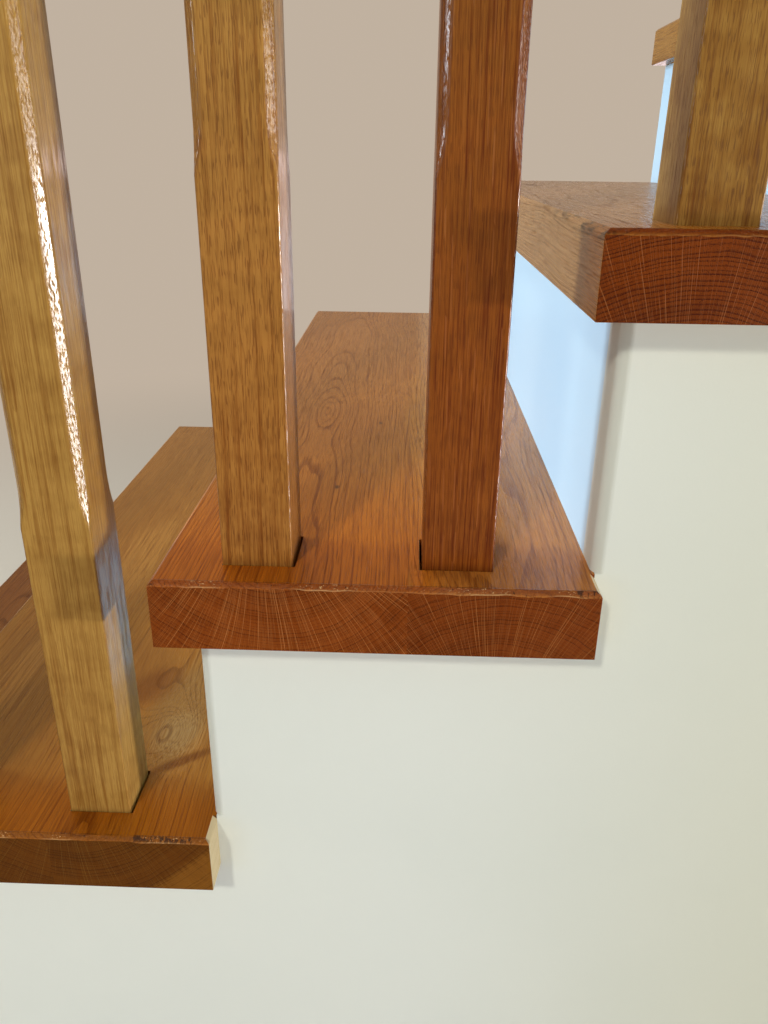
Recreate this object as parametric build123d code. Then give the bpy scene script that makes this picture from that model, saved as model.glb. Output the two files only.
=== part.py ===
from build123d import *
import math
import os

# Straight flight of six oak steps on a painted carcass, open on the near side with a stop-chamfered
# balustrade, the far side made to stand against a wall. Sizes are in millimetres.
# +X runs up the flight, +Y goes from the open side to the wall, +Z is up. The origin is the centre of the
# bottom newel's foot, so the middle of the balustrade is the plane Y = 0 and the floor is Z = 0.

# Flight
STEPS = 6
RISE = 195.0
GOING = 238.0
FLIGHT_WIDTH = 900.0

# Treads: solid boards with a square nose, eased along the top arris
TREAD_THICKNESS = 44.0
NOSING = 20.0
END_OVERHANG = 24.0
TREAD_HOUSING = 2.0
TREAD_ARRIS = 3.0

# Carcass: painted boards under and behind the treads
CHEEK_THICKNESS = 27.0
CHEEK_CORNER_RADIUS = 7.0
RISER_THICKNESS = 18.0
WALL_CHEEK_THICKNESS = 25.0
BACK_PANEL_THICKNESS = 18.0

# Balusters: two a tread, stop-chamfered on all four corners
BALUSTERS_PER_TREAD = 2
BALUSTER_WIDTH = 42.0
FIRST_BALUSTER_FROM_NOSE = 60.0
MORTISE_DEPTH = 15.0
MORTISE_SLACK = 1.4
MORTISE_FRONT_SLACK = 0.4
BALUSTER_CHAMFER = 5.0
CHAMFER_START = 215.0
CHAMFER_END_BELOW_RAIL = 150.0
STOP_LENGTH = 26.0

# Newels: corner posts that run down to the floor
NEWEL_WIDTH = 90.0
NEWEL_CHAMFER = 9.0
NEWEL_STOP_LENGTH = 40.0
NEWEL_CHAMFER_START = 260.0
NEWEL_CHAMFER_END_BELOW_RAIL = 110.0
NEWEL_ABOVE_RAIL = 65.0
CAP_OVERHANG = 9.0
CAP_PLINTH = 20.0
CAP_PEAK = 26.0
CAP_TOP_FLAT = 10.0
CAP_EDGE_BEVEL = 6.0

# Handrail: grooved underneath for the baluster heads and the infill strips
HANDRAIL_HEIGHT = 900.0
RAIL_WIDTH = 62.0
RAIL_DEPTH = 58.0
RAIL_SHOULDER_RADIUS = 15.0
RAIL_WAIST = 54.0
RAIL_WAIST_HEIGHT = 14.0
RAIL_COVE_HEIGHT = 16.0
RAIL_COVE_DEPTH = 4.0
RAIL_LIP_RISE = 4.0
RAIL_LIP_SLOPE = 0.4
RAIL_GROOVE_DEPTH = 9.0
RAIL_GROOVE_CLEARANCE = 0.4

# Lines that the pieces share
BALUSTER_PITCH = GOING / BALUSTERS_PER_TREAD
PITCH_ANGLE = math.atan2(RISE, GOING)
TREAD_DEPTH = NOSING + GOING + TREAD_HOUSING
NEAR_END_Y = -(BALUSTER_WIDTH / 2 + END_OVERHANG)
WALL_Y = NEAR_END_Y + FLIGHT_WIDTH
CHEEK_OUTER_Y = NEAR_END_Y + END_OVERHANG
CHEEK_INNER_Y = CHEEK_OUTER_Y + CHEEK_THICKNESS
NEWEL_HALF = NEWEL_WIDTH / 2
CUT_MARGIN = 5.0


def nose_x(step):
    """Front edge of a tread. The first one is flush with the bottom newel's front face."""
    return -NEWEL_HALF + (step - 1) * GOING


def riser_x(step):
    """Front face of a riser, which is also the cheek's front edge at that step."""
    return nose_x(step) + NOSING


def tread_top(step):
    return step * RISE


def tread_underside(step):
    return tread_top(step) - TREAD_THICKNESS


BACK_X = nose_x(STEPS) + TREAD_DEPTH
TOP_NEWEL_X = BACK_X - NEWEL_HALF


def rail_top_z(x):
    """Height of the handrail's top over the floor, HANDRAIL_HEIGHT above the line of the noses."""
    return RISE + (x - nose_x(1)) * math.tan(PITCH_ANGLE) + HANDRAIL_HEIGHT


def rail_under_z(x):
    return rail_top_z(x) - RAIL_DEPTH / math.cos(PITCH_ANGLE)


def groove_z(x):
    """Height of the groove's ceiling, where the baluster heads end."""
    return rail_under_z(x) + RAIL_GROOVE_DEPTH / math.cos(PITCH_ANGLE)


def box_between(low, high):
    """Solid box between two opposite corners."""
    size = [b - a for a, b in zip(low, high)]
    return Pos(*low) * Box(*size, align=(Align.MIN, Align.MIN, Align.MIN))


def side_profile(points, y_from, y_to):
    """Board whose outline is drawn in the XZ plane, between two planes of constant Y."""
    face = make_face(Polyline(*[(x, y_from, z) for x, z in points], close=True))
    return extrude(face, amount=y_to - y_from, dir=(0, 1, 0))


# Balusters

def baluster_places():
    """(step, position on the tread) of each baluster. A newel takes the first place and the last."""
    places = [(step, place) for step in range(1, STEPS + 1) for place in range(BALUSTERS_PER_TREAD)]
    return places[1:-1]


def baluster_x(step, place):
    return nose_x(step) + FIRST_BALUSTER_FROM_NOSE + place * BALUSTER_PITCH


def slack_side(step, place):
    """Side of the mortise that shows a gap: +1 is uphill, -1 is downhill."""
    return 1 if place == 0 or step % 2 == 0 else -1


def corner_chamfer(size, leg, start, end, stop_length):
    """Cutter for the chamfer of one corner. It runs out at each end on an arc, as a spindle cutter leaves it."""
    corner = math.hypot(size / 2, size / 2)
    depth = math.hypot(leg / 2, leg / 2)
    radius = (stop_length**2 + depth**2) / (2 * depth)
    reach = depth + CUT_MARGIN
    run = math.sqrt(2 * radius * reach - reach**2)
    flat_start = start + stop_length
    flat_end = end - stop_length
    floor = corner - depth
    outline = (
        Line((floor, flat_start), (floor, flat_end))
        + TangentArc((floor, flat_end), (floor + reach, flat_end + run), tangent=(0, 1))
        + Line((floor + reach, flat_end + run), (floor + reach, flat_start - run))
        + TangentArc((floor, flat_start), (floor + reach, flat_start - run), tangent=(0, -1))
    )
    diagonal = Plane(origin=(0, 0, 0), x_dir=(1, 1, 0), z_dir=(1, -1, 0))
    return extrude(diagonal * make_face(outline), amount=leg, both=True)


def stop_chamfered_post(size, bottom, top, leg, start, end, stop_length):
    """Square post on the Z axis with a stopped chamfer on each of its four corners."""
    post = box_between((-size / 2, -size / 2, bottom), (size / 2, size / 2, top))
    cutter = corner_chamfer(size, leg, start, end, stop_length)
    for turn in range(4):
        post -= Rot(0, 0, 90 * turn) * cutter
    return post


def above_rake(x_centre, half, height_at):
    """Block of everything above a raked plane, over the footprint of one post."""
    x0 = x_centre - half - CUT_MARGIN
    x1 = x_centre + half + CUT_MARGIN
    ceiling = height_at(x1) + 4 * half
    outline = [(x0, height_at(x0)), (x1, height_at(x1)), (x1, ceiling), (x0, ceiling)]
    return side_profile(outline, -half - CUT_MARGIN, half + CUT_MARGIN)


def baluster(step, place):
    """Baluster from the bottom of its mortise to the groove in the rail, its head cut to the rake."""
    x = baluster_x(step, place)
    half = BALUSTER_WIDTH / 2
    post = stop_chamfered_post(
        BALUSTER_WIDTH,
        tread_top(step) - MORTISE_DEPTH,
        groove_z(x + half),
        BALUSTER_CHAMFER,
        tread_top(step) + CHAMFER_START,
        rail_under_z(x) - CHAMFER_END_BELOW_RAIL,
        STOP_LENGTH,
    )
    return Pos(x, 0, 0) * post - above_rake(x, half, groove_z)


def mortise(step, place):
    """Housing for a baluster's foot, a little wide on one side and towards the tread's end."""
    x = baluster_x(step, place)
    half = BALUSTER_WIDTH / 2
    slack = MORTISE_SLACK * slack_side(step, place)
    low = (x - half + min(slack, 0), -half - MORTISE_FRONT_SLACK, tread_top(step) - MORTISE_DEPTH)
    high = (x + half + max(slack, 0), half, tread_top(step) + CUT_MARGIN)
    return box_between(low, high)


# Treads

def tread(step):
    """Oak board, notched over the cheek, with its back edge run under the next riser."""
    front = nose_x(step)
    back = front + TREAD_DEPTH
    low, high = tread_underside(step), tread_top(step)
    board = box_between((front, NEAR_END_Y, low), (back, WALL_Y, high))
    if step < STEPS:
        under_riser = back - TREAD_HOUSING + RISER_THICKNESS
        board += box_between((front, CHEEK_INNER_Y, low), (under_riser, WALL_Y, high))
    top_edges = board.faces().sort_by(Axis.Z)[-1].edges()
    nose_edge = top_edges.filter_by(Axis.Y).sort_by(Axis.X)[0]
    end_edge = top_edges.filter_by(Axis.X).sort_by(Axis.Y)[0]
    board = chamfer([nose_edge, end_edge], TREAD_ARRIS) - overhang_arris(back, high)
    if step == 1:
        board -= newel_notch(-CUT_MARGIN - NEWEL_HALF, NEWEL_HALF, step)
    if step == STEPS:
        board -= newel_notch(TOP_NEWEL_X - NEWEL_HALF, BACK_X + CUT_MARGIN, step)
    for at_step, place in baluster_places():
        if at_step == step:
            board -= mortise(step, place)
    return board


def overhang_arris(back, high):
    """Waste over the eased back arris of a tread, where the board stands past the cheek."""
    past_back, over_top = back + CUT_MARGIN, high + CUT_MARGIN
    outline = [(back - TREAD_ARRIS - CUT_MARGIN, over_top), (past_back, high - TREAD_ARRIS - CUT_MARGIN),
               (past_back, over_top)]
    return side_profile(outline, NEAR_END_Y - CUT_MARGIN, CHEEK_OUTER_Y)


def newel_notch(x_from, x_to, step):
    """Corner of a tread that is cut away round a newel."""
    low = (x_from, NEAR_END_Y - CUT_MARGIN - NEWEL_HALF, tread_underside(step) - CUT_MARGIN)
    high = (x_to, NEWEL_HALF, tread_top(step) + CUT_MARGIN)
    return box_between(low, high)


# Carcass

def riser(step):
    """Board standing on the tread below, or on the floor, up to the underside of its own tread."""
    foot = tread_top(step - 1)
    near_y = NEWEL_HALF if step == 1 else CHEEK_INNER_Y
    low = (riser_x(step), near_y, foot)
    high = (riser_x(step) + RISER_THICKNESS, WALL_Y, tread_underside(step))
    return box_between(low, high)


def open_side_cheek():
    """Stepped panel under the open ends of the treads, between the two newels."""
    outline = [(NEWEL_HALF, 0), (NEWEL_HALF, tread_underside(1))]
    for step in range(1, STEPS):
        tread_back = nose_x(step) + TREAD_DEPTH
        outline.append((tread_back, tread_underside(step)))
        outline.append((tread_back, tread_top(step)))
        outline.append((riser_x(step + 1), tread_top(step)))
        outline.append((riser_x(step + 1), tread_underside(step + 1)))
    newel_face = TOP_NEWEL_X - NEWEL_HALF
    outline += [(newel_face, tread_underside(STEPS)), (newel_face, 0)]
    panel = side_profile(outline, CHEEK_OUTER_Y, CHEEK_INNER_Y)
    for step in range(2, STEPS + 1):
        panel -= upright_corner(riser_x(step), tread_top(step - 1), tread_underside(step))
    return panel


def upright_corner(x, low, high):
    """Waste outside the rounded corner between the cheek's face and its front edge."""
    radius = CHEEK_CORNER_RADIUS
    outside = (x - CUT_MARGIN, CHEEK_OUTER_Y - CUT_MARGIN, low)
    square = box_between(outside, (x + radius, CHEEK_OUTER_Y + radius, high))
    centre = Pos(x + radius, CHEEK_OUTER_Y + radius, low)
    return square - centre * Cylinder(radius, high - low, align=(Align.CENTER, Align.CENTER, Align.MIN))


def wall_side_cheek():
    """Stepped panel under the wall ends of the treads, behind the risers."""
    outline = [(riser_x(1) + RISER_THICKNESS, 0)]
    for step in range(1, STEPS + 1):
        x = riser_x(step) + RISER_THICKNESS
        if step > 1:
            outline.append((x, tread_underside(step - 1)))
        outline.append((x, tread_underside(step)))
    panel_face = BACK_X - BACK_PANEL_THICKNESS
    outline += [(panel_face, tread_underside(STEPS)), (panel_face, 0)]
    return side_profile(outline, WALL_Y - WALL_CHEEK_THICKNESS, WALL_Y)


def back_panel():
    """Board that closes the carcass under the back edge of the top tread."""
    low = (BACK_X - BACK_PANEL_THICKNESS, NEWEL_HALF, 0)
    return box_between(low, (BACK_X, WALL_Y, tread_underside(STEPS)))


# Newels

def newel(x, step):
    """Corner post from the floor to above the handrail, chamfered between its tread and the rail."""
    post = stop_chamfered_post(
        NEWEL_WIDTH,
        0,
        newel_top(x),
        NEWEL_CHAMFER,
        tread_top(step) + NEWEL_CHAMFER_START,
        rail_under_z(x) - NEWEL_CHAMFER_END_BELOW_RAIL,
        NEWEL_STOP_LENGTH,
    )
    return Pos(x, 0, 0) * post


def newel_top(x):
    return rail_top_z(x + NEWEL_HALF) + NEWEL_ABOVE_RAIL


def newel_cap(x):
    """Square cap with a bevelled lower edge and a low four-sided peak."""
    side = NEWEL_WIDTH + 2 * CAP_OVERHANG
    plinth = extrude(Rectangle(side, side), amount=CAP_PLINTH)
    plinth = chamfer(plinth.faces().sort_by(Axis.Z)[0].edges(), CAP_EDGE_BEVEL)
    peak = loft([Pos(0, 0, CAP_PLINTH) * Rectangle(side, side),
                 Pos(0, 0, CAP_PLINTH + CAP_PEAK) * Rectangle(CAP_TOP_FLAT, CAP_TOP_FLAT)])
    return Pos(x, 0, newel_top(x)) * (plinth + peak)


# Handrail

def rail_half_outline():
    """Right half of the rail's section, from the groove round to the crown. Y = 0 is the top of the rail."""
    groove = (BALUSTER_WIDTH + RAIL_GROOVE_CLEARANCE) / 2
    waist, width = RAIL_WAIST / 2, RAIL_WIDTH / 2
    under = -RAIL_DEPTH
    cove_low = under + RAIL_WAIST_HEIGHT
    cove_high = cove_low + RAIL_COVE_HEIGHT
    lip = cove_high + RAIL_LIP_RISE
    shoulder = -RAIL_SHOULDER_RADIUS
    crown = width - RAIL_SHOULDER_RADIUS
    return (
        Polyline((0, under + RAIL_GROOVE_DEPTH), (groove, under + RAIL_GROOVE_DEPTH), (groove, under),
                 (waist, under), (waist, cove_low))
        + ThreePointArc((waist, cove_low), (waist - RAIL_COVE_DEPTH, (cove_low + cove_high) / 2),
                        (waist, cove_high))
        + TangentArc((waist, cove_high), (width, lip), tangent=(1, RAIL_LIP_SLOPE))
        + Line((width, lip), (width, shoulder))
        + TangentArc((width, shoulder), (crown, 0), tangent=(0, 1))
        + Line((crown, 0), (0, 0))
    )


def handrail():
    """Moulded rail on the rake, grooved underneath and cut plumb against the two newels."""
    half = make_face(rail_half_outline() + Line((0, 0), (0, -RAIL_DEPTH + RAIL_GROOVE_DEPTH)))
    section = half + mirror(half, about=Plane.YZ)
    x0, x1 = NEWEL_HALF, TOP_NEWEL_X - NEWEL_HALF
    start_x = x0 - RAIL_DEPTH
    length = (x1 - x0 + 2 * RAIL_DEPTH) / math.cos(PITCH_ANGLE)
    along = (math.cos(PITCH_ANGLE), 0, math.sin(PITCH_ANGLE))
    start = Plane(origin=(start_x, 0, rail_top_z(start_x)), x_dir=(0, 1, 0), z_dir=along)
    rail = extrude(start * section, amount=length)
    between = box_between((x0, -RAIL_WIDTH, 0), (x1, RAIL_WIDTH, rail_top_z(x1) + RAIL_DEPTH))
    return rail & between


def rail_infill():
    """Strips in the groove between the baluster heads and the newels."""
    half_width = (BALUSTER_WIDTH + RAIL_GROOVE_CLEARANCE) / 2
    half = BALUSTER_WIDTH / 2
    posts = [baluster_x(*place) for place in baluster_places()]
    starts = [NEWEL_HALF] + [x + half for x in posts]
    ends = [x - half for x in posts] + [TOP_NEWEL_X - NEWEL_HALF]
    strips = []
    for x0, x1 in zip(starts, ends):
        outline = [(x0, rail_under_z(x0)), (x1, rail_under_z(x1)), (x1, groove_z(x1)), (x0, groove_z(x0))]
        strips.append(side_profile(outline, -half_width, half_width))
    return Compound(children=strips)


def build():
    """Every piece of the flight, by the name of its file."""
    pieces = {}
    for step in range(1, STEPS + 1):
        pieces[f"tread_{step}"] = tread(step)
        pieces[f"riser_{step}"] = riser(step)
    pieces["open_side_cheek"] = open_side_cheek()
    pieces["wall_side_cheek"] = wall_side_cheek()
    pieces["back_panel"] = back_panel()
    for step, place in baluster_places():
        pieces[f"baluster_{step}{'ab'[place]}"] = baluster(step, place)
    pieces["bottom_newel"] = newel(0, 1)
    pieces["top_newel"] = newel(TOP_NEWEL_X, STEPS)
    pieces["bottom_newel_cap"] = newel_cap(0)
    pieces["top_newel_cap"] = newel_cap(TOP_NEWEL_X)
    pieces["handrail"] = handrail()
    pieces["rail_infill"] = rail_infill()
    return pieces


os.makedirs("parts", exist_ok=True)
for name, shape in build().items():
    export_step(shape, f"parts/{name}.step")
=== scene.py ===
import bpy
import math
from mathutils import Matrix, Vector


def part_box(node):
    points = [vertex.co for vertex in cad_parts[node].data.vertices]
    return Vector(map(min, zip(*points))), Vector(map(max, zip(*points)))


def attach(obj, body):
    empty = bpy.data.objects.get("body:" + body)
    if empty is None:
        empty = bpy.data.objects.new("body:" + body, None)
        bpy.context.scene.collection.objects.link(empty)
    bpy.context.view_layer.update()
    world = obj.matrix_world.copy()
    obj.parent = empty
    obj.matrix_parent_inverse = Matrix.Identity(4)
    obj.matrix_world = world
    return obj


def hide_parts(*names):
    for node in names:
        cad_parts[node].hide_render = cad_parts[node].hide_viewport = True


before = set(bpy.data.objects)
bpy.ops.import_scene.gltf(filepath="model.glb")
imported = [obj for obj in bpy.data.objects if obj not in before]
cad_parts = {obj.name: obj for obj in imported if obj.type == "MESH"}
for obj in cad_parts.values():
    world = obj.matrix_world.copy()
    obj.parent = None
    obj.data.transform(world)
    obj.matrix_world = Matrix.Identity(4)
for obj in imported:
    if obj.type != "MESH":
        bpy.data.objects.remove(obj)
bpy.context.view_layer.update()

# The treads
# Six solid oak boards, each glued up from two staves, planed and lacquered on top. The near ends stand past the
# cheek and show dark end grain; a block plane eased their arrises by hand and left them a little wavy and torn.

MM = 1000.0


class Value:
    """One socket of a node tree, written in expressions. Every operator adds the Math node that does it."""

    def __init__(self, nodes, socket):
        self.nodes, self.socket = nodes, socket

    def __add__(self, other): return self.nodes.maths("ADD", self, other)
    def __radd__(self, other): return self.nodes.maths("ADD", other, self)
    def __sub__(self, other): return self.nodes.maths("SUBTRACT", self, other)
    def __rsub__(self, other): return self.nodes.maths("SUBTRACT", other, self)
    def __mul__(self, other): return self.nodes.maths("MULTIPLY", self, other)
    def __rmul__(self, other): return self.nodes.maths("MULTIPLY", other, self)
    def __truediv__(self, other): return self.nodes.maths("DIVIDE", self, other)
    def __rtruediv__(self, other): return self.nodes.maths("DIVIDE", other, self)
    def __pow__(self, other): return self.nodes.maths("POWER", self, other)
    def __rpow__(self, other): return self.nodes.maths("POWER", other, self)
    def __neg__(self): return self.nodes.maths("MULTIPLY", self, -1.0)
    def __abs__(self): return self.nodes.maths("ABSOLUTE", self)
    def __gt__(self, other): return self.nodes.maths("GREATER_THAN", self, other)
    def __lt__(self, other): return self.nodes.maths("LESS_THAN", self, other)

    def between(self, low, high):
        """A soft step: 0 at low and 1 at high, also where low is the larger."""
        ends = {"Value": self, "From Min": low, "From Max": high}
        return self.nodes.node("ShaderNodeMapRange", {"interpolation_type": "SMOOTHSTEP"}, ends)[0]


class Outputs:
    """The output sockets of a node, by name or place."""

    def __init__(self, nodes, added):
        self.nodes, self.added = nodes, added

    def __getitem__(self, socket):
        return Value(self.nodes, self.added.outputs[socket])


class Nodes:
    """A node tree, built a node at a time."""

    def __init__(self, tree):
        self.tree = tree

    def node(self, kind, settings=None, inputs=None):
        """Adds a node, sets its options, then feeds its sockets by name or place."""
        added = self.tree.nodes.new(kind)
        for option, value in (settings or {}).items():
            setattr(added, option, value)
        for socket, value in (inputs or {}).items():
            self.feed(added.inputs[socket], value)
        return Outputs(self, added)

    def feed(self, socket, value):
        if isinstance(value, Value):
            self.tree.links.new(value.socket, socket)
        else:
            socket.default_value = value

    def maths(self, operation, *terms):
        return self.node("ShaderNodeMath", {"operation": operation}, dict(enumerate(terms)))[0]

    def vector(self, x, y, z):
        return self.node("ShaderNodeCombineXYZ", inputs={0: x, 1: y, 2: z})[0]

    def parts(self, vector):
        split = self.node("ShaderNodeSeparateXYZ", inputs={0: vector})
        return split[0], split[1], split[2]

    def noise(self, x, y, z, detail=0.0):
        """Soft noise with features one unit across."""
        sockets = {"Vector": self.vector(x, y, z), "Scale": 1.0, "Detail": detail}
        return self.node("ShaderNodeTexNoise", inputs=sockets)

    def chance(self, number):
        """Something else for every whole number, always the same for the same one."""
        return self.node("ShaderNodeTexWhiteNoise", {"noise_dimensions": "1D"}, {"W": number})

    def mix(self, first, second, share):
        """A colour between two colours."""
        settings = {"data_type": "RGBA", "clamp_factor": True}
        return self.node("ShaderNodeMix", settings, {0: share, 6: first, 7: second})[2]

    def stained(self, colour, stain, share):
        """A colour seen through a transparent stain."""
        settings = {"data_type": "RGBA", "blend_type": "MULTIPLY", "clamp_factor": True}
        return self.node("ShaderNodeMix", settings, {0: share, 6: colour, 7: stain})[2]


class Finish(Nodes):
    """A material under one Principled shader."""

    def __init__(self, name, **constants):
        self.material = bpy.data.materials.new(name)
        self.material.use_nodes = True
        super().__init__(self.material.node_tree)
        self.shader = self.tree.nodes["Principled BSDF"]
        self.vary(**constants)

    def vary(self, **sockets):
        """Feeds the shader, with what changes over the surface or with what is the same all over."""
        for socket, value in sockets.items():
            self.feed(self.shader.inputs[socket.replace("_", " ")], value)

    def relief(self, height):
        """Bump from a height in millimetres."""
        bump = self.node("ShaderNodeBump", inputs={"Strength": 1.0, "Distance": 1 / MM, "Height": height})
        self.vary(Normal=bump[0])

    def place(self):
        """Where the surface is, in millimetres."""
        return [part * MM for part in self.parts(self.node("ShaderNodeTexCoord")["Object"])]

    def facing(self):
        return self.parts(self.node("ShaderNodeNewGeometry")["Normal"])


# Room for one ray, in mm: along the grain, and out from the pith.
RAY_LENGTH, RAY_DEPTH = 34, 70


def oak(finish, across, depth, along, look):
    """The figure of an oak log: rings of uneven width round its pith, pores in the early wood, and the rays that
    run out from the pith. across and depth are measured from the pith and along is with the grain, in mm."""
    bends = finish.parts(finish.noise(across / 160, depth / 160, along / look["figure_length"], 1.0)["Color"])
    across = across + (bends[0] - 0.5) * look["figure"]
    depth = depth + (bends[1] - 0.5) * look["figure"]
    radius = (across * across + depth * depth) ** 0.5
    turn = finish.maths("ARCTAN2", across, depth)

    uneven = finish.node("ShaderNodeTexNoise", {"noise_dimensions": "1D"},
                         {"W": radius / 9.0, "Scale": 1.0, "Detail": 1.0})[0]
    wobble = finish.noise(across / 15, depth / 15, along / 150, 1.0)[0]
    growth = radius / look["ring_width"] + uneven * look["uneven"] + wobble * look["wobble"]
    year = finish.maths("FLOOR", growth)
    vigour = finish.chance(year)[0]
    early = (growth - year).between(look["early_width"], 0.04) * (vigour * 0.5 + 0.5)

    pore_width, pore_limit, streak_width = look["pore_width"], look["pore_limit"], look["streak_width"]
    pore_noise = finish.noise(across / pore_width, depth / pore_width, along / look["pore_length"])[0]
    pores = (pore_noise + early * look["pore_rows"]).between(pore_limit, pore_limit + 0.07)
    streaks = finish.noise(across / streak_width, depth / streak_width, along / 150, 1.0)[0]
    fibre = finish.noise(across / 0.8, depth / 0.8, along / look["fibre_length"], 1.0)[0]
    patch = finish.noise(across / 45, depth / 45, along / 170, 2.0)[0]
    fine_rays = finish.noise(turn * look["fine_rays"], radius / 14, along / 22, 1.0)[0]

    ray_turn, ray_depth, ray_length = turn * look["rays"], radius / RAY_DEPTH, along / RAY_LENGTH
    cells = finish.node("ShaderNodeTexVoronoi", {"feature": "F1"},
                        {"Vector": finish.vector(ray_turn, ray_depth, ray_length), "Scale": 1.0})
    seat = finish.parts(cells["Position"])
    strength = finish.parts(cells["Color"])[0]
    off_sheet = abs(ray_turn - seat[0]) * radius / look["rays"]
    off_middle = abs(ray_length - seat[2]) * RAY_LENGTH
    rays = off_sheet.between(0.24, 0.08) * off_middle.between(15.0, 9.0) * (strength * 0.8 + 0.2)
    return {"radius": radius, "turn": turn, "early": early, "vigour": vigour, "pores": pores, "rays": rays,
            "streaks": streaks - 0.5, "fibre": fibre - 0.5, "patch": patch - 0.5, "fine_rays": fine_rays - 0.5}


def long_grain(finish, wood, look):
    """Colour of a planed face along the grain."""
    shade = (wood["early"] * look["band"] + wood["streaks"] * look["streak"] + wood["fibre"] * look["fibre"]
             + wood["patch"] * look["patch"] + wood["fine_rays"] * 0.35 + look["middle"])
    colour = finish.mix(look["light"], look["dark"], shade)
    colour = finish.mix(colour, look["pore"], wood["pores"] * look["pore_strength"])
    return finish.mix(colour, look["fleck"], wood["rays"] * look["fleck_strength"])


def ray_lines(finish, wood, count, half_width, reach):
    """Rays cut across: thin lines out from the pith, each with its own strength and length."""
    spread = wood["turn"] * count
    which = finish.maths("FLOOR", spread)
    chance = finish.parts(finish.chance(which)["Color"])
    off = abs(spread - which - (chance[0] * 0.6 + 0.2)) * wood["radius"] / count
    shown = finish.noise(which * 7.7, wood["radius"] / reach, 0.0)[0].between(0.40, 0.58)
    return off.between(half_width, half_width * 0.3) * (chance[1] * 0.8 + 0.2) * shown


def end_grain(finish, wood, look):
    """Colour of a face sawn across the grain: darker, with the rays drawn as pale lines."""
    shade = (wood["early"] * look["end_band"] + (wood["vigour"] - 0.5) * 0.30 + wood["patch"] * 1.5
             - wood["fine_rays"] * 0.5 + wood["fibre"] * 0.7 + 0.20)
    colour = finish.mix(look["end_light"], look["end_dark"], shade)
    colour = finish.mix(colour, look["end_pore"], wood["pores"] * look["end_pores"])
    colour = finish.stained(colour, END_SAPWOOD, (wood["past_heart"] + wood["fine_rays"] * 8).between(-3.0, 6.0))
    broad = ray_lines(finish, wood, look["end_rays"], 0.17, 50)
    fine = ray_lines(finish, wood, look["end_rays"] * 3, 0.12, 18)
    return finish.mix(colour, look["end_ray"], broad * look["end_drawn"] + fine * look["end_drawn"] * 0.5)


def toned(look, tint, *parts):
    """The same wood in a board that is darker or browner."""
    return dict(look, **{part: tuple(c * t for c, t in zip(look[part], (*tint, 1))) for part in parts})


# The oak of a tread: sizes in mm, how strongly each kind of line shows, then the colours along the grain and on
# the sawn end.
BOARD_LOOK = {
    "figure": 18.0, "figure_length": 260.0, "ring_width": 2.6, "uneven": 3.0, "wobble": 0.9, "early_width": 0.32,
    "pore_width": 0.5, "pore_length": 30.0, "pore_limit": 0.66, "pore_rows": 0.17, "pore_strength": 0.48,
    "streak_width": 1.2, "fibre_length": 60.0, "rays": 15.0, "fine_rays": 80.0, "fleck_strength": 0.16,
    "band": 0.74, "streak": 1.65, "fibre": 1.4, "patch": 0.35, "middle": 0.22,
    "light": (0.40, 0.142, 0.021, 1), "dark": (0.205, 0.058, 0.007, 1),
    "pore": (0.150, 0.045, 0.006, 1), "fleck": (0.46, 0.22, 0.06, 1),
    "end_band": 0.85, "end_pores": 0.40, "end_rays": 44.0, "end_drawn": 0.82,
    "end_light": (0.235, 0.052, 0.006, 1), "end_dark": (0.100, 0.018, 0.0015, 1),
    "end_pore": (0.055, 0.010, 0.001, 1), "end_ray": (0.56, 0.24, 0.075, 1),
}
SAPWOOD, END_SAPWOOD = (0.42, 0.21, 0.05, 1), (1.8, 2.2, 3.0, 1)
# Of the next line, the first colour paints the warmer tone near the near end, partly painted light, and the
# second paints a pale reflection of the riser on the second stave.
NEAR_WARMTH_AND_PAINTED_LIGHT, SECOND_STAVE_PAINTED_REFLECTION = (1.17, 0.93, 0.38, 1), (1.15, 1.25, 1.6, 1)
SECOND_STAVE_END = (0.82, 0.78, 0.74, 1)
GLUE_LINE, PIN_KNOT = (0.16, 0.05, 0.012, 1), (0.07, 0.02, 0.006, 1)
RAW_LIGHT, RAW_DARK = (0.49, 0.40, 0.24, 1), (0.39, 0.30, 0.16, 1)
PALE_FIBRE_AND_GLINT, TORN_WOOD, SCUFF = (0.66, 0.42, 0.19, 1), (0.030, 0.010, 0.004, 1), (0.40, 0.42, 0.36, 1)
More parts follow.
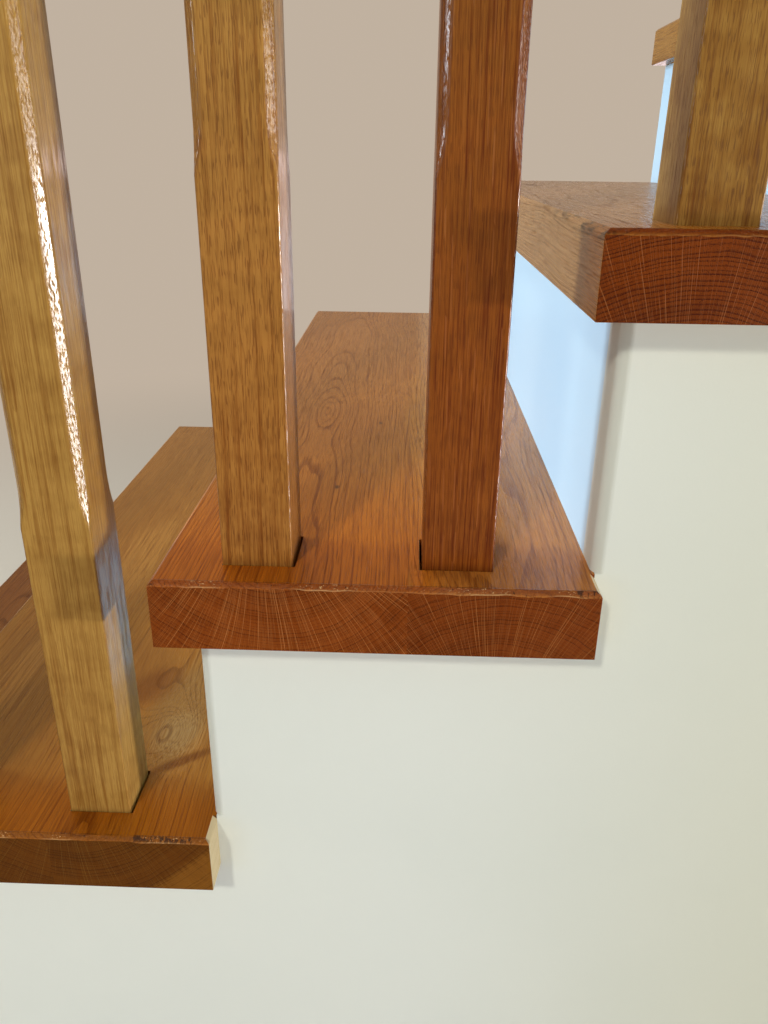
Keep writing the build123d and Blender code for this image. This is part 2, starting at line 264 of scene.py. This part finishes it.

# How each board was cut and has worn, in mm:
#   joint         the glue line, from the nose
#   rings         width of a ring
#   staves        for each stave its pith, from the nose and above the top face, how much the pith climbs in a
#                 millimetre of length, and the radius at which the sapwood begins
#   tint, end     its own tone, in the fourth board mostly a painted reflection, and that of its end and of the bare wood on its near arris
#   arris         how strongly that bare wood shows
#   calm          how much of the lines of the look its top shows, 1 where it isn't given
#   own           what else in the look is its own
#   rays          tone of the rays on its end, where it isn't that of the end
#   warm          how far from the near end the warmer stain reaches, partly painted light, 260 where it isn't given
#   second_stave  how strongly the second stave shows: on the top a painted pale reflection of the riser, on the
#   end a greyer tone
#   crumbs        how much pale fibre and painted highlight its arris shows, 1 where it isn't given
#   scuffed       how far from the near end the scuffs along the nose begin to fade, and where they end
#   torn          the stretches of the near arris that the plane tore, from the nose
# The rest are places on its top, from the nose and in the part's own y:
#   burls         a swelling of the rings: its place, width, length, and how far it lifts them
#   clouds        a darker or paler patch: its place, width, length, slant and stain; one is a painted shadow
#   specks        a pin knot
BOARDS = {
    1: {"joint": 128.0, "rings": 2.8, "staves": [(58.0, -92.0, 0.012, 150.0), (206.0, 70.0, -0.010, 150.0)],
        "tint": (0.46, 0.42, 0.6), "end": (0.7, 0.7, 0.8), "arris": 0.5},
    2: {"joint": 150.0, "rings": 2.7, "staves": [(172.0, 72.0, 0.016, 190.0), (167.0, 63.0, 0.012, 113.0)],
        "tint": (0.84, 0.94, 1.05), "end": (0.54, 0.76, 0.6), "arris": 0.5, "calm": 0.75,
        "own": {"end_drawn": 0.35}, "warm": 75.0,
        "burls": [(210.0, 65.0, 20.0, 36.0, 16.0), (178.0, 128.0, 16.0, 36.0, -6.0)],
        "clouds": [(208.0, 92.0, 30.0, 80.0, 0.0, (1.0, 1.15, 1.75, 1)),
                   (211.0, 65.0, 17.0, 27.0, 0.0, (1.16, 1.34, 1.7, 1)),
                   (172.0, 124.0, 22.0, 34.0, 0.3, (0.70, 0.61, 0.62, 1)),
                   (150.0, 150.0, 38.0, 68.0, 0.0, (0.78, 0.76, 0.82, 1)),
                   # A painted shadow: the dark flame that the baluster beside it casts on this top.
                   (222.0, 33.0, 9.0, 20.0, 1.3, (0.60, 0.50, 0.5, 1)),
                   (60.0, 150.0, 70.0, 190.0, 0.0, (0.62, 0.64, 0.75, 1)),
                   (80.0, 300.0, 34.0, 180.0, 0.1, (1.2, 1.3, 1.5, 1))],
        "torn": [(200.0, 252.0)]},
    3: {"joint": 150.0, "rings": 2.2, "staves": [(70.0, 58.0, 0.016, 128.0), (208.0, -110.0, 0.010, 124.0)],
        "tint": (1.0, 1.0, 1.0), "end": (1.0, 1.0, 1.0), "arris": 0.85, "second_stave": 1.0,
        "burls": [(70.0, 300.0, 13.0, 60.0, 7.0)], "specks": [(123.0, 269.0), (96.5, 108.0)],
        "clouds": [(160.0, 290.0, 13.0, 190.0, 0.0, (1.06, 1.13, 1.16, 1)),
                   (70.0, 120.0, 70.0, 110.0, 0.0, (0.93, 0.92, 0.9, 1)),
                   (92.0, 255.0, 44.0, 85.0, 0.0, (0.87, 0.84, 0.82, 1))],
        "torn": [(-12.0, 9.0), (240.0, 285.0)]},
    # The fourth board's pale, blue-heavy tint is painted reflection: the pale surround on its top, seen nearly
    # edge-on, and the cool window on its nose.
    4: {"joint": 172.0, "rings": 2.3, "staves": [(54.0, -137.0, 0.010, 190.0), (214.0, 74.0, 0.012, 150.0)],
        "tint": (0.885, 1.21, 2.75), "end": (0.76, 0.66, 0.25), "arris": 1.0, "calm": 0.7, "warm": 50.0,
        "own": {"uneven": 1.2, "early_width": 0.5, "end_band": 1.15, "end_pores": 0.8, "end_drawn": 0.62},
        "rays": (0.85, 0.80, 0.90), "crumbs": 0.25, "scuffed": (40.0, 250.0),
        "specks": [(112.0, 338.0)]},
    5: {"joint": 140.0, "rings": 2.8, "staves": [(84.0, 66.0, -0.014, 140.0), (200.0, -90.0, 0.010, 140.0)],
        "tint": (0.90, 1.10, 1.2), "end": (0.9, 1.3, 1.6), "arris": 0.5},
    6: {"joint": 110.0, "rings": 2.4, "staves": [(44.0, -75.0, 0.010, 140.0), (190.0, 80.0, 0.012, 140.0)],
        "tint": (0.95, 0.95, 1.0), "end": (0.9, 0.9, 0.9), "arris": 0.5},
}


def board_look(board):
    return dict(BOARD_LOOK, ring_width=board["rings"], **board.get("own", {}))


def sawn(finish, step, board, look):
    """The wood of one board, its two staves side by side, with the place on the board: from its nose, from its
    near end and from its top face."""
    low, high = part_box(f"tread_{step}")
    x, y, z = finish.place()
    from_nose, near, height = x - low.x * MM, y - low.y * MM, z - high.z * MM
    right = from_nose > board["joint"]

    def of_stave(part):
        left_value, right_value = board["staves"][0][part], board["staves"][1][part]
        return right * (right_value - left_value) + left_value

    depth = height - of_stave(1) - of_stave(2) * near
    for burl_x, burl_y, width, length, lift in board.get("burls", []):
        spread = ((from_nose - burl_x) / width) ** 2.0 + ((y - burl_y) / length) ** 2.0
        depth = depth + finish.maths("EXPONENT", -spread) * lift
    wood = oak(finish, from_nose - of_stave(0), depth, y + right * 430 + step * 1700, look)
    wood["past_heart"] = wood["radius"] + wood["fibre"] * 4 - of_stave(3)
    wood.update({"from_nose": from_nose, "y": y, "near": near, "height": height, "right": right})
    return wood


def clouded(finish, board, wood, colour):
    """Darker and paler patches, with edges that follow the grain. One on the second board is a painted baluster
    shadow.
    """
    ragged = wood["streaks"] * 1.2 + wood["fibre"] * 0.5
    for place_x, place_y, width, length, slant, stain in board.get("clouds", []):
        across = (wood["from_nose"] - place_x - (wood["y"] - place_y) * slant) / width
        spread = (across ** 2.0 + ((wood["y"] - place_y) / length) ** 2.0) ** 0.5
        colour = finish.stained(colour, stain, (spread + ragged).between(1.3, 0.4))
    return colour


def knotted(finish, board, wood, colour):
    """Pin knots, drawn out along the grain."""
    for speck_x, speck_y in board.get("specks", []):
        across, along = (wood["from_nose"] - speck_x) / 2.6, (wood["y"] - speck_y) / 5.0
        spread = (across ** 2.0 + along ** 2.0) ** 0.5
        colour = finish.mix(colour, PIN_KNOT, spread.between(1.0, 0.3) * 0.85)
    return colour


def worn(finish, step, board, look, wood, colour):
    """Bare wood along the near arris, with pale crumbs of fibre, a painted highlight along its lower line and
    dark tears. Also gives where the arris is and how rough it was left."""
    from_nose, near, height = wood["from_nose"], wood["near"], wood["height"]
    arris = near.between(4.2, 2.4) * height.between(-4.5, -1.2)
    tears = finish.noise(from_nose / 2.0, near / 4.0, height / 4.0, 2.0)[0]
    crumbs = finish.noise(from_nose / 1.6 + 50, near / 0.8, height / 0.8, 1.0)[0]
    crumbly = finish.noise(from_nose / 42 + step * 3, 0.0, 0.0)[0].between(0.45, 0.62)
    for torn_from, torn_to in board.get("torn", []):
        torn = from_nose.between(torn_from, torn_from + 10) * from_nose.between(torn_to, torn_to - 10)
        tears = tears + torn * 0.21

    end = toned(look, board["end"], "end_light", "end_dark")
    bare = finish.mix(end["end_light"], end["end_dark"], wood["early"] * 0.6 + wood["fibre"] + 0.25)
    colour = finish.mix(colour, bare, arris * board["arris"])
    # The first term is pale crumbs of fibre; the second paints a highlight along the arris's lower line.
    pale = finish.maths("MAXIMUM", crumbs.between(0.62, 0.72), near.between(0.8, 0.2) * (crumbs + 0.4))
    colour = finish.mix(colour, PALE_FIBRE_AND_GLINT, pale * crumbly * arris * board.get("crumbs", 1.0))
    colour = finish.mix(colour, TORN_WOOD, tears.between(0.69, 0.74) * arris * 0.85)
    return colour, arris, tears + crumbs


def scuffed(finish, board, wood, colour):
    """Dark scuffs along the nose, near the open end."""
    from_nose, near, height = wood["from_nose"], wood["near"], wood["height"]
    fade_from, fade_to = board["scuffed"]
    scuffs = finish.noise(from_nose / 5, near / 16, height / 5, 2.0)[0].between(0.46, 0.60)
    nose_line = from_nose.between(9.0, 2.5) * height.between(-9.0, -2.5)
    return finish.stained(colour, SCUFF, scuffs * nose_line * near.between(fade_to, fade_from))


def top_finish(step, board):
    finish = Finish(f"tread_{step}_lacquered_oak", Specular_IOR_Level=0.11, Coat_Roughness=0.15)
    look = toned(board_look(board), board["tint"], "light", "dark", "pore", "fleck")
    for line in ("band", "streak", "fibre", "pore_strength"):
        look[line] *= board.get("calm", 1.0)
    wood = sawn(finish, step, board, look)
    from_nose, joint = wood["from_nose"], board["joint"]

    colour = finish.mix(long_grain(finish, wood, look), SAPWOOD, wood["past_heart"].between(-1.5, 1.5) * 0.45)
    colour = clouded(finish, board, wood, colour)
    # On the second stave the top is stained paler and bluer, a painted reflection of the riser, and given a
    # little coat.
    other = from_nose.between(joint + 2, joint + 24) * board.get("second_stave", 0.0)
    # Towards the near end the top is stained warmer. This is partly the board's own colour and partly painted
    # light, standing for the far part taking more sheen from the pale surround.
    near_warmth_and_light = wood["near"].between(board.get("warm", 260.0), 20) * (1 - other * 0.8)
    colour = finish.stained(colour, NEAR_WARMTH_AND_PAINTED_LIGHT, near_warmth_and_light)
    colour = finish.stained(colour, SECOND_STAVE_PAINTED_REFLECTION, other)
    colour = finish.mix(colour, GLUE_LINE, abs(from_nose - joint).between(0.35, 0.1) * 0.3)
    colour = knotted(finish, board, wood, colour)

    raw_back = finish.facing()[0].between(0.5, 0.68)
    raw = finish.mix(RAW_LIGHT, RAW_DARK, wood["early"] + wood["streaks"])
    colour = finish.mix(colour, raw, raw_back)
    colour, arris, roughened = worn(finish, step, board, look, wood, colour)
    if "scuffed" in board:
        colour = scuffed(finish, board, wood, colour)

    roughness = wood["fibre"] * 0.14 + wood["pores"] * 0.2 + raw_back * 0.3 + arris * 0.10 + 0.27
    finish.vary(Base_Color=colour, Roughness=roughness, Coat_Weight=other * 0.35)
    finish.relief(wood["fibre"] * 0.06 - wood["pores"] * 0.05 - wood["early"] * 0.03 + roughened * arris * 0.4)
    return finish.material


def end_finish(step, board):
    finish = Finish(f"tread_{step}_end_grain", Specular_IOR_Level=0.05)
    look = toned(board_look(board), board["end"], "end_light", "end_dark", "end_pore")
    look = toned(look, board.get("rays", board["end"]), "end_ray")
    wood = sawn(finish, step, board, look)
    other = wood["right"] * board.get("second_stave", 0.0)
    colour = finish.stained(end_grain(finish, wood, look), SECOND_STAVE_END, other)
    finish.vary(Base_Color=colour, Roughness=wood["fibre"] * 0.2 + 0.5)
    finish.relief(wood["fibre"] * 0.04 - wood["pores"] * 0.08)
    return finish.material


def worked_copy(node, name):
    """A copy of a solid's mesh with its loose triangles joined and its flat faces whole again."""
    bpy.ops.object.select_all(action="DESELECT")
    piece = bpy.data.objects.new(name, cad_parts[node].data.copy())
    bpy.context.scene.collection.objects.link(piece)
    bpy.context.view_layer.objects.active = piece
    piece.select_set(True)
    if piece.data.has_custom_normals:
        bpy.ops.mesh.customdata_custom_splitnormals_clear()
    bpy.ops.object.mode_set(mode="EDIT")
    bpy.ops.mesh.select_all(action="SELECT")
    bpy.ops.mesh.remove_doubles(threshold=0.00001)
    bpy.ops.mesh.dissolve_limited(angle_limit=math.radians(0.5))
    bpy.ops.object.mode_set(mode="OBJECT")
    return piece


def apply_modifiers(piece):
    bpy.context.view_layer.objects.active = piece
    for modifier in list(piece.modifiers):
        bpy.ops.object.modifier_apply(modifier=modifier.name)


def eased(piece, width):
    """Rounds every arris over a little and keeps the flats flat."""
    bpy.ops.object.shade_smooth()
    bevel = piece.modifiers.new("arris", "BEVEL")
    bevel.width = width
    bevel.segments = 2
    bevel.limit_method = "ANGLE"
    bevel.angle_limit = math.radians(30)
    bevel.use_clamp_overlap = False
    flats = piece.modifiers.new("flats", "WEIGHTED_NORMAL")
    flats.weight = 100
    apply_modifiers(piece)


def dressed(piece, *materials):
    piece.data.materials.clear()
    for material in materials:
        piece.data.materials.append(material)


def fitted(piece, node, slot, *materials):
    """Puts a finished piece in the place of its solid."""
    dressed(piece, *materials)
    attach(piece, "root")
    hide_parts(node)


ARRIS_CUTS = 150
ARRIS_WAVE = 0.0024
ARRIS_WAVE_LENGTH = 0.012
ARRIS_ROUND = 0.00035
HAIR = 0.0001


def wave_line(piece, line, direction, name):
    """Lets one line of an arris wander within its own flat face, as a hand-worked edge does."""
    group = piece.vertex_groups.new(name="line")
    group.add(line, 1.0, "REPLACE")
    clouds = bpy.data.textures.new(name, "CLOUDS")
    clouds.noise_scale = ARRIS_WAVE_LENGTH
    clouds.noise_depth = 3
    shift = piece.modifiers.new("wave", "DISPLACE")
    shift.texture = clouds
    shift.texture_coords = "LOCAL"
    shift.direction = direction
    shift.vertex_group = group.name
    shift.strength = ARRIS_WAVE
    shift.mid_level = 0.5
    apply_modifiers(piece)
    piece.vertex_groups.clear()
    bpy.data.textures.remove(clouds)


def worn_arrises(piece, step):
    """Divides the near end's eased arris finely and makes its two lines wander. A strip of the top beside it is
    made one face first, so that the wandering line crosses nothing."""
    low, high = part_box(f"tread_{step}")
    points = piece.data.vertices
    arris = min(high.z - p.co.z for p in points if abs(p.co.y - low.y) < HAIR and high.z - p.co.z > HAIR)

    def on_lower_line(p):
        return abs(p.y - low.y) < HAIR and abs(p.z - (high.z - arris)) < HAIR

    def on_upper_line(p):
        return abs(p.z - high.z) < HAIR and abs(p.y - (low.y + arris)) < HAIR

    strip = low.y + arris * 3
    bpy.ops.object.mode_set(mode="EDIT")
    bpy.ops.mesh.select_all(action="SELECT")
    bpy.ops.mesh.bisect(plane_co=(0, strip, 0), plane_no=(0, 1, 0))
    bpy.ops.mesh.select_mode(type="FACE")
    bpy.ops.mesh.select_all(action="DESELECT")
    bpy.ops.object.mode_set(mode="OBJECT")
    for face in piece.data.polygons:
        face.select = face.normal.z > 0.99 and face.center.y < strip
    bpy.ops.object.mode_set(mode="EDIT")
    bpy.ops.mesh.dissolve_faces()
    bpy.ops.mesh.select_mode(type="EDGE")
    bpy.ops.mesh.select_all(action="DESELECT")
    bpy.ops.object.mode_set(mode="OBJECT")
    points = piece.data.vertices
    for edge in piece.data.edges:
        a, b = (points[i].co for i in edge.vertices)
        edge.select = (on_lower_line(a) and on_lower_line(b)) or (on_upper_line(a) and on_upper_line(b))
    bpy.ops.object.mode_set(mode="EDIT")
    bpy.ops.mesh.subdivide(number_cuts=ARRIS_CUTS)
    bpy.ops.object.mode_set(mode="OBJECT")
    points = piece.data.vertices
    left, right = low.x + arris * 1.5, high.x - arris * 1.5
    lower = [p.index for p in points if on_lower_line(p.co) and left < p.co.x < right]
    upper = [p.index for p in points if on_upper_line(p.co) and left < p.co.x < right]
    wave_line(piece, lower, "Z", f"{piece.name}_lower")
    wave_line(piece, upper, "Y", f"{piece.name}_upper")


for step, board in BOARDS.items():
    tread = worked_copy(f"tread_{step}", f"tread_{step}_board")
    worn_arrises(tread, step)
    eased(tread, ARRIS_ROUND)
    fitted(tread, f"tread_{step}", "tread_oak", top_finish(step, board), end_finish(step, board))
    for face in tread.data.polygons:
        face.material_index = 1 if abs(face.normal.y) > 0.9 else 0

# The risers
# Painted boards between the treads, sprayed a cool satin white whose blue is partly painted cool daylight, their
# faces flush with the cheek's front edge.
# They are glued and pinned, and the paint hides the pins.

# Both riser colours are bluer than the paint: part of their blue is painted cool daylight.
RISER_WHITE_AND_COOL_LIGHT, RISER_SHADOW = (0.575, 0.758, 0.915, 1), (0.545, 0.74, 0.905, 1)


def paint(name, colour, shadow, roughness, grain, falloff_shade=None):
    """Paint on board: nearly one colour, with a faint roller texture and slow shifts of tone. Where a falloff
    colour is given, the paint is stained darker and yellower towards the top of the flight: painted shade."""
    finish = Finish(name, Specular_IOR_Level=0.15)
    x, y, z = finish.place()
    slow = finish.noise(x / 210, y / 210, z / 210, 2.0)[0]
    stipple = finish.noise(x / 1.6, y / 1.6, z / 1.6, 2.0)[0] - 0.5
    tone = finish.mix(colour, shadow, slow.between(0.35, 0.75) * 0.6 + stipple * 0.12)
    # Painted shade: the light falling off towards the top of the flight, stained into the paint.
    if falloff_shade:
        tone = finish.stained(tone, falloff_shade, x.between(560, 900))
    finish.vary(Base_Color=tone, Roughness=(slow - 0.5) * 0.12 + roughness)
    finish.relief(stipple * grain)
    return finish.material


riser_white_and_cool_light = paint("riser_white_and_cool_light", RISER_WHITE_AND_COOL_LIGHT, RISER_SHADOW, 0.34, 0.012)
for step in BOARDS:
    dressed(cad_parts[f"riser_{step}"], riser_white_and_cool_light)

# The cheeks and the back panel
# Board and plaster closed in under the treads and painted a warm matt white with a roller. The open side's
# upright corners are rounded over, the wall side and the back are plain.

CHEEK_WHITE, CHEEK_SHADOW, FALLOFF_SHADE = (0.78, 0.832, 0.823, 1), (0.74, 0.797, 0.788, 1), (0.89, 0.865, 0.77, 1)

# The cheeks take painted shade, stained darker and yellower towards the top of the flight.
cheek_white = paint("cheek_white", CHEEK_WHITE, CHEEK_SHADOW, 0.62, 0.03, FALLOFF_SHADE)
for node in ("open_side_cheek", "wall_side_cheek", "back_panel"):
    dressed(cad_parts[node], cheek_white)

# The balusters
# Square oak spindles with a stopped chamfer on all four corners, housed full size in the treads. They were
# sanded and lacquered to a gloss before fitting, so every arris is softened a little.

BALUSTERS = ("1b", "2a", "2b", "3a", "3b", "4a", "4b", "5a", "5b", "6a")
REDDISH = "3b"
POST_EASE = 0.0012
SPINDLE_LOOK = dict(
    BOARD_LOOK, figure=8.0, figure_length=500.0, ring_width=3.2, early_width=0.5, rays=22.0,
    pore_width=0.45, pore_length=7.5, pore_rows=0.06, pore_limit=0.585, pore_strength=0.52,
    streak_width=1.3, fibre_length=30.0, fleck_strength=0.15,
    band=0.40, streak=1.5, fibre=1.4, patch=1.0, middle=0.18, mottle=1.6,
    light=(0.43, 0.247, 0.060, 1), dark=(0.24, 0.100, 0.0155, 1), pore=(0.150, 0.056, 0.009, 1),
)
RED_SPINDLE_LOOK = dict(
    SPINDLE_LOOK, ring_width=2.2, early_width=0.6, rays=45.0,
    pore_width=0.5, pore_length=9.0, pore_limit=0.57, pore_strength=0.75,
    streak_width=0.9, fleck_strength=0.60,
    band=0.65, streak=1.8, fibre=1.9, middle=0.12, mottle=0.8,
    light=(0.302, 0.118, 0.0185, 1), dark=(0.154, 0.038, 0.0038, 1),
    pore=(0.075, 0.014, 0.002, 1), fleck=(0.42, 0.19, 0.06, 1),
)
MOTTLE, REDDENED = (0.56, 0.44, 0.30, 1), (0.95, 0.69, 0.58, 1)
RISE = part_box("tread_2")[1].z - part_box("tread_1")[1].z


def spindle_finish(name, look, pith, redness):
    """Lacquered oak for every baluster, each from its own stretch of the log: the number of the baluster, counted
    along the flight, moves the wood and picks its tone, its pores and how much its foot has reddened."""
    finish = Finish(name, Specular_IOR_Level=0.16, Coat_Roughness=0.12)
    x, y, z = finish.place()
    first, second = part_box("baluster_1b")[0].x * MM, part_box("baluster_2a")[0].x * MM
    pitch = second - first
    number = finish.maths("FLOOR", (x - first + pitch / 4) / pitch)
    wood = oak(finish, x - number * pitch - pith[0], y - pith[1], z + number * 700, look)
    wood["pores"] = wood["pores"] * (finish.maths("FRACT", number * 0.5) * 1.3 + 0.4)
    mottle = finish.noise(x / 22, y / 22, z / 16 + number * 40, 2.5)[0] - 0.5
    own_tone = finish.maths("FRACT", number * 0.3 + 0.45)
    above_foot = z - finish.maths("FLOOR", (number + 3) / 2) * (RISE * MM)
    reddened = finish.maths("MAXIMUM", 1 - finish.maths("FRACT", number * 0.37) * 1.2, redness)
    colour = long_grain(finish, wood, look)
    colour = finish.stained(colour, MOTTLE, mottle * look["mottle"] + own_tone * own_tone * 0.64 + 0.08)
    colour = finish.stained(colour, REDDENED, (above_foot + mottle * 200).between(430, 70) * reddened)

    facing_x, facing_y = finish.facing()[:2]
    chamfer = (abs(facing_x) * abs(facing_y)).between(0.28, 0.46)
    side = facing_x.between(0.75, 0.95)
    crackle = finish.noise(x, y, z / 3.4, 1.0)[0]
    planing = finish.noise(x / 1.6, y / 1.6, z / 22, 1.0)[0]
    gloss = chamfer * crackle.between(0.39, 0.61) + side * planing.between(0.38, 0.62) * 0.6
    roughness = wood["fibre"] * 0.2 + wood["pores"] * 0.12 + chamfer * 0.02 + 0.32
    finish.vary(Base_Color=colour, Roughness=roughness, Coat_Weight=gloss)
    finish.relief(wood["fibre"] * 0.07 + (crackle * 0.75 + planing * 0.35) * chamfer + planing * side * 0.12)
    return finish.material


golden = spindle_finish("baluster_golden_oak", SPINDLE_LOOK, (210.0, 130.0), 0.0)
reddish = spindle_finish("baluster_reddish_oak", RED_SPINDLE_LOOK, (260.0, 40.0), 1.0)
for number in BALUSTERS:
    spindle = worked_copy(f"baluster_{number}", f"baluster_{number}_spindle")
    eased(spindle, POST_EASE)
    fitted(spindle, f"baluster_{number}", "baluster_oak", reddish if number == REDDISH else golden)

# The newels and their caps
# Heavier square oak posts at the two ends of the balustrade, stop-chamfered like the balusters, each with a
# separate pyramid cap glued on.

LACQUER = {"Specular_IOR_Level": 0.25, "Coat_Weight": 0.25, "Coat_Roughness": 0.12}


def lacquered(finish, across, depth, along):
    """Gives a finish the colour, sheen and fine grain of lacquered oak."""
    wood = oak(finish, across, depth, along, SPINDLE_LOOK)
    finish.vary(Base_Color=long_grain(finish, wood, SPINDLE_LOOK),
                Roughness=wood["fibre"] * 0.3 + wood["pores"] * 0.15 + 0.30)
    finish.relief(wood["fibre"] * 0.10 - wood["pores"] * 0.05)


newel_oak = Finish("newel_oak", **LACQUER)
x, y, z = newel_oak.place()
lacquered(newel_oak, x - 160, y + 95, z)
for node in ("bottom_newel", "top_newel", "bottom_newel_cap", "top_newel_cap"):
    post = worked_copy(node, f"{node}_post")
    eased(post, POST_EASE)
    fitted(post, node, "rail_oak", newel_oak.material)

# The handrail
# One moulded oak rail on the rake, with strips let into its groove between the baluster heads. It was run
# through a spindle moulder and lacquered with the rest.

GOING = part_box("tread_3")[0].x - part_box("tread_2")[0].x
RAKE = math.atan2(RISE, GOING)

rail_oak = Finish("rail_oak", **LACQUER)
x, y, z = rail_oak.place()
along = x * math.cos(RAKE) + z * math.sin(RAKE)
up = z * math.cos(RAKE) - x * math.sin(RAKE)
lacquered(rail_oak, y + 70, up - 640, along)
rail = worked_copy("handrail", "handrail_rail")
bpy.ops.object.shade_smooth_by_angle(angle=math.radians(30))
fitted(rail, "handrail", "rail_oak", rail_oak.material)
dressed(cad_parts["rail_infill"], rail_oak.material)

# The studio
# A pale floor, a pale surround and soft lamps, with the camera where the photograph was taken from, low on the
# open side and looking a little down across the third step.

WHITE = (1.0, 1.0, 1.0, 1)
PALE = (0.53, 0.44, 0.35, 1)
SKY_LIGHT = 0.275
FLOOR_FADE = 900, 2600


def seen_straight(nodes):
    """1 on rays that start at the camera or by way of gloss or glass, which are to see an even, pale surround."""
    path = nodes.node("ShaderNodeLightPath")
    seen = nodes.maths("MAXIMUM", path["Is Camera Ray"], path["Is Glossy Ray"])
    return nodes.maths("MAXIMUM", seen, path["Is Transmission Ray"])


bpy.ops.object.select_all(action="DESELECT")
bpy.ops.mesh.primitive_plane_add(size=40.0, location=(0.6, 0.4, -0.0005))
floor = bpy.context.object
floor.name = "studio_floor"
floor_paint = Finish("studio_floor", Base_Color=PALE, Roughness=0.9, Specular_IOR_Level=0.0)
x, y = floor_paint.place()[:2]
far = ((x * x + y * y) ** 0.5).between(*FLOOR_FADE)
near_floor = Value(floor_paint, floor_paint.shader.outputs[0])
far_floor = floor_paint.node("ShaderNodeEmission", inputs={"Color": PALE, "Strength": 1.0})[0]
blended = floor_paint.node("ShaderNodeMixShader",
                           inputs={0: seen_straight(floor_paint) * far, 1: near_floor, 2: far_floor})[0]
floor_paint.feed(floor_paint.tree.nodes["Material Output"].inputs["Surface"], blended)
dressed(floor, floor_paint.material)

world = bpy.data.worlds.new("studio")
bpy.context.scene.world = world
world.use_nodes = True
world.node_tree.nodes.clear()
sky = Nodes(world.node_tree)
lighting = sky.node("ShaderNodeBackground", inputs={"Color": WHITE, "Strength": SKY_LIGHT})[0]
surround = sky.node("ShaderNodeBackground", inputs={"Color": PALE, "Strength": 1.0})[0]
blended = sky.node("ShaderNodeMixShader", inputs={0: seen_straight(sky), 1: lighting, 2: surround})[0]
sky.node("ShaderNodeOutputWorld", inputs={"Surface": blended})

MIDDLE = Vector((0.45, 0.1, 0.55))


def lamp(name, place, width, height, power, colour):
    """A soft rectangular lamp, turned towards the middle of the flight."""
    bpy.ops.object.light_add(type="AREA", location=place)
    light = bpy.context.object
    light.name = name
    light.data.shape = "RECTANGLE"
    light.data.size, light.data.size_y = width, height
    light.data.energy = power
    light.data.color = colour
    light.rotation_euler = (MIDDLE - Vector(place)).to_track_quat("-Z", "Y").to_euler()
    light.visible_camera = False
    return light


lamp("overhead", (0.2, 0.5, 3.2), 0.8, 0.8, 22.5, (1.0, 0.98, 0.94))
lamp("front", (-0.2, -1.9, 2.15), 0.22, 0.22, 24.0, (1.0, 0.95, 0.78))
lamp("cool_window", (-2.4, 0.5, 1.3), 1.2, 1.4, 110.0, (0.70, 0.88, 1.0))
lamp("cool_fill", (-3.9, -5.8, 1.1), 3.0, 2.0, 44.0, (0.82, 0.94, 1.0))
lamp("low_right", (6.1, -2.05, 0.25), 0.5, 0.4, 240.0, (1.0, 0.99, 0.96))
lamp("gloss_right", (2.7, -0.70, 0.60), 1.3, 1.1, 22.0, (1.0, 0.95, 0.88)).visible_diffuse = False
lamp("gloss_low", (1.80, -0.55, 0.36), 0.5, 0.8, 24.0, (0.97, 0.99, 1.0)).visible_diffuse = False
lamp("gloss_left", (-2.4, -0.15, 1.5), 0.6, 0.9, 22.0, (0.80, 0.90, 1.0)).visible_diffuse = False
lamp("gloss_back", (1.35, 2.5, 0.42), 0.9, 0.8, 6.0, (1.0, 0.82, 0.88)).visible_diffuse = False

FOCAL_PIXELS = 819.3
PHOTO_HEIGHT = 1024
SENSOR = 36.0
CAMERA_PLACE = (0.5780, -0.4538, 0.8092)
HEADING, PITCH, ROLL = 1.585, 23.42, 0.756

bpy.ops.object.camera_add(location=CAMERA_PLACE)
camera = bpy.context.object
turn = (Matrix.Rotation(math.radians(HEADING), 3, "Z")
        @ Matrix.Rotation(math.radians(90 - PITCH), 3, "X")
        @ Matrix.Rotation(math.radians(ROLL), 3, "Z"))
camera.rotation_euler = turn.to_euler()
camera.data.sensor_width = SENSOR
camera.data.lens = FOCAL_PIXELS / PHOTO_HEIGHT * SENSOR
camera.data.clip_start = 0.01
bpy.context.scene.camera = camera
bpy.context.scene.view_settings.view_transform = "Standard"
